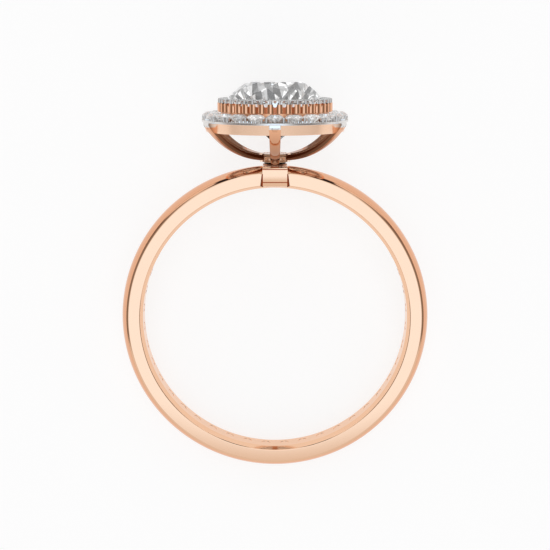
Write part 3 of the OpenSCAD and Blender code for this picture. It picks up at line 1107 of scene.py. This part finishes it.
def makeCamera():
    data = bpy.data.cameras.new("camera")
    eye = bpy.data.objects.new("camera", data)
    bpy.context.collection.objects.link(eye)
    data.sensor_width = camera["sensor"]
    data.lens = camera["lens"]
    data.shift_y = -camera["shift"]
    data.clip_start, data.clip_end = camera["sees"]
    tilt = math.radians(camera["tilt"])
    look = Vector((0, math.cos(tilt), -math.sin(tilt)))
    above = Vector((0, math.sin(tilt), math.cos(tilt)))
    axes = Matrix(((1, 0, 0), above, -look)).transposed().to_4x4()
    eye.matrix_world = (Matrix.Translation(ringFrame @ Vector(camera["eye"]))
                        @ ringTurn @ axes)
    bpy.context.scene.camera = eye


# a pair says where along an axis of the sky a zone of light starts and where it is full,
# from -1 to 1, and four numbers also where it fades and ends
studio = {
    "floor": (0.33, 0.32, 0.31, 1),
    "floorWide": 4,
    "floorRough": 0.9,
    "floorGlow": 0.76,
    "overhead": (1.14, 1.37, 1.62, 1),
    "around": (0.84, 0.84, 0.84, 1),
    "lowDown": (0.13, 0.075, 0.05, 1),
    "dim": (0.26, 0.23, 0.21, 1),
    "above": (1.05, 1.06, 1.08, 1),
    "horizon": (0.97, 0.965, 0.96, 1),
    "stripe": (0.03, 0.03, 0.035, 1),
    "panelFoot": (-0.38, -0.3),
    "panelSide": (0.32, 0.17),
    "panelTop": (0.5, 0.35),
    "dimSide": (0.38, 0.5, 0.9, 0.96),
    "aboveFrom": (0.5, 0.6),
    "stripeSide": (0.2, 0.24, 0.46, 0.5),
    "aboveLow": (0.08, 0.14),
    "horizonTop": (0.07, 0.1),
    "wallTop": (0.06, 0.44),
    "wallTopLow": (0.0, 0.12),
    "lowFoot": (-0.45, -0.35),
}


def makeWorld():
    # a cool panel overhead, an even wall of light around it with dimmer sides, dark low
    # down, beyond the head bright with two dark stripes, and a pale horizon
    world = bpy.data.worlds.new("studio")
    world.use_nodes = True
    nodes, links = world.node_tree.nodes, world.node_tree.links
    coords = nodes.new("ShaderNodeTexCoord")

    def along(direction, edges, mirrored=False):
        dot = nodes.new("ShaderNodeVectorMath")
        dot.operation = "DOT_PRODUCT"
        dot.inputs[1].default_value = direction
        links.new(coords.outputs["Generated"], dot.inputs[0])
        reach = dot.outputs["Value"]
        if mirrored:
            size = nodes.new("ShaderNodeMath")
            size.operation = "ABSOLUTE"
            links.new(reach, size.inputs[0])
            reach = size.outputs["Value"]
        ramp = nodes.new("ShaderNodeMapRange")
        ramp.interpolation_type = "SMOOTHSTEP"
        ramp.inputs["From Min"].default_value = edges[0]
        ramp.inputs["From Max"].default_value = edges[1]
        links.new(reach, ramp.inputs["Value"])
        return ramp.outputs["Result"]

    def blended(factor, low, high):
        mix = nodes.new("ShaderNodeMix")
        mix.data_type = "RGBA"
        links.new(factor, mix.inputs["Factor"])
        for socket, value in (("A", low), ("B", high)):
            if isinstance(value, tuple):
                mix.inputs[socket].default_value = value
            else:
                links.new(value, mix.inputs[socket])
        return mix.outputs["Result"]

    def times(one, other):
        product = nodes.new("ShaderNodeMath")
        product.operation = "MULTIPLY"
        links.new(one, product.inputs[0])
        links.new(other, product.inputs[1])
        return product.outputs["Value"]

    side, up = (1, 0, 0), (0, 0, 1)
    high = along(upward, studio["panelFoot"])
    inner, outer = studio["dimSide"][:2], studio["dimSide"][2:]
    dimmed = times(along(side, inner, True), along(side, outer[::-1], True))
    sky = blended(times(dimmed, high), studio["around"], studio["dim"])
    panel = times(along(side, studio["panelSide"], True), high)
    panel = times(panel, along(upward, studio["panelTop"]))
    sky = blended(panel, sky, studio["overhead"])
    front = blended(along(up, studio["wallTopLow"]), studio["lowDown"], sky)
    back = blended(along(up, studio["wallTop"]), studio["lowDown"], sky)
    sky = blended(along(upward, studio["lowFoot"]), front, back)
    inner, outer = studio["stripeSide"][:2], studio["stripeSide"][2:]
    stripe = times(along(side, inner, True), along(side, outer[::-1], True))
    above = blended(stripe, studio["above"], studio["stripe"])
    above = blended(along(up, studio["aboveLow"]), studio["stripe"], above)
    sky = blended(along(upward, studio["aboveFrom"]), sky, above)
    sky = blended(along(up, studio["horizonTop"]), studio["horizon"], sky)
    links.new(sky, nodes["Background"].inputs["Color"])
    bpy.context.scene.world = world


def makeFloor():
    # a pale table that glows a little, so that shadows on it stay soft
    deselectAll()
    bpy.ops.mesh.primitive_plane_add(size=studio["floorWide"])
    floor = named("floor")
    material, nodes, links, shader = newShader("paleFloor")
    shader.inputs["Base Color"].default_value = studio["floor"]
    shader.inputs["Roughness"].default_value = studio["floorRough"]
    shader.inputs["Specular IOR Level"].default_value = 0
    shader.inputs["Emission Color"].default_value = (1, 1, 1, 1)
    shader.inputs["Emission Strength"].default_value = studio["floorGlow"]
    floor.data.materials.append(material)


makeCamera()
makeWorld()
makeFloor()
bpy.context.scene.view_settings.view_transform = "Standard"
print("camera, light and floor placed")
